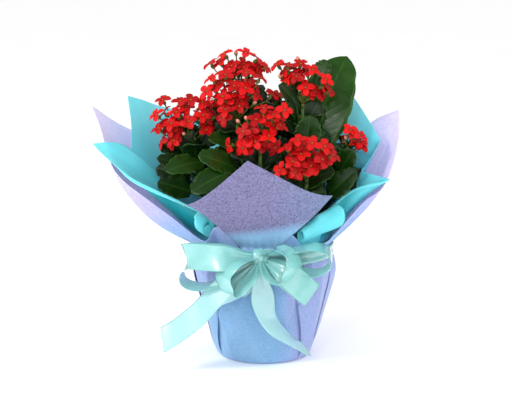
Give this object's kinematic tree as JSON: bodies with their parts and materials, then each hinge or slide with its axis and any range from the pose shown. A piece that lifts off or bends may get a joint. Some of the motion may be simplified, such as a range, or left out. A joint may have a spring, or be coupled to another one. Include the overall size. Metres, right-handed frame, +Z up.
{
  "type": "potted kalanchoe",
  "caption": "Flowering kalanchoe in a plastic pot, gift wrapped in blue, lilac and turquoise sheets and tied at the neck with a mint satin bow.",
  "frame": {"origin": "middle of the wrapped pot's flat underside", "axes": "+Z up, -Y towards the bow and the viewer, +X to the viewer's right"},
  "size_m": [0.3056, 0.2857, 0.3059],
  "materials": {
    "pot": "satin",
    "soil": "matte",
    "outer_sheet": "matte",
    "front_sheet": "matte",
    "turquoise_sheet": "satin",
    "ribbon": "satin",
    "leaves": "satin",
    "petals": "matte"
  },
  "bodies": {
    "root": {"bow": "ribbon", "flower_head_back_left": "petals", "flower_head_back_right": "petals", "flower_head_centre": "petals", "flower_head_far_right": "petals", "flower_head_left": "petals", "flower_head_lower_right": "petals", "flower_head_middle": "petals", "flower_head_top": "petals", "flower_head_upper_right": "petals", "front_sheet": "front_sheet", "outer_sheet": "outer_sheet", "pot": "pot", "ribbon_band": "ribbon", "shoot_back_left": "leaves", "shoot_back_right": "leaves", "shoot_centre": "leaves", "shoot_far_right": "leaves", "shoot_left": "leaves", "shoot_lower_right": "leaves", "shoot_middle": "leaves", "shoot_top": "leaves", "shoot_upper_right": "leaves", "soil": "soil", "turquoise_sheet_left": "turquoise_sheet", "turquoise_sheet_right": "turquoise_sheet"}
  },
  "joints": []
}
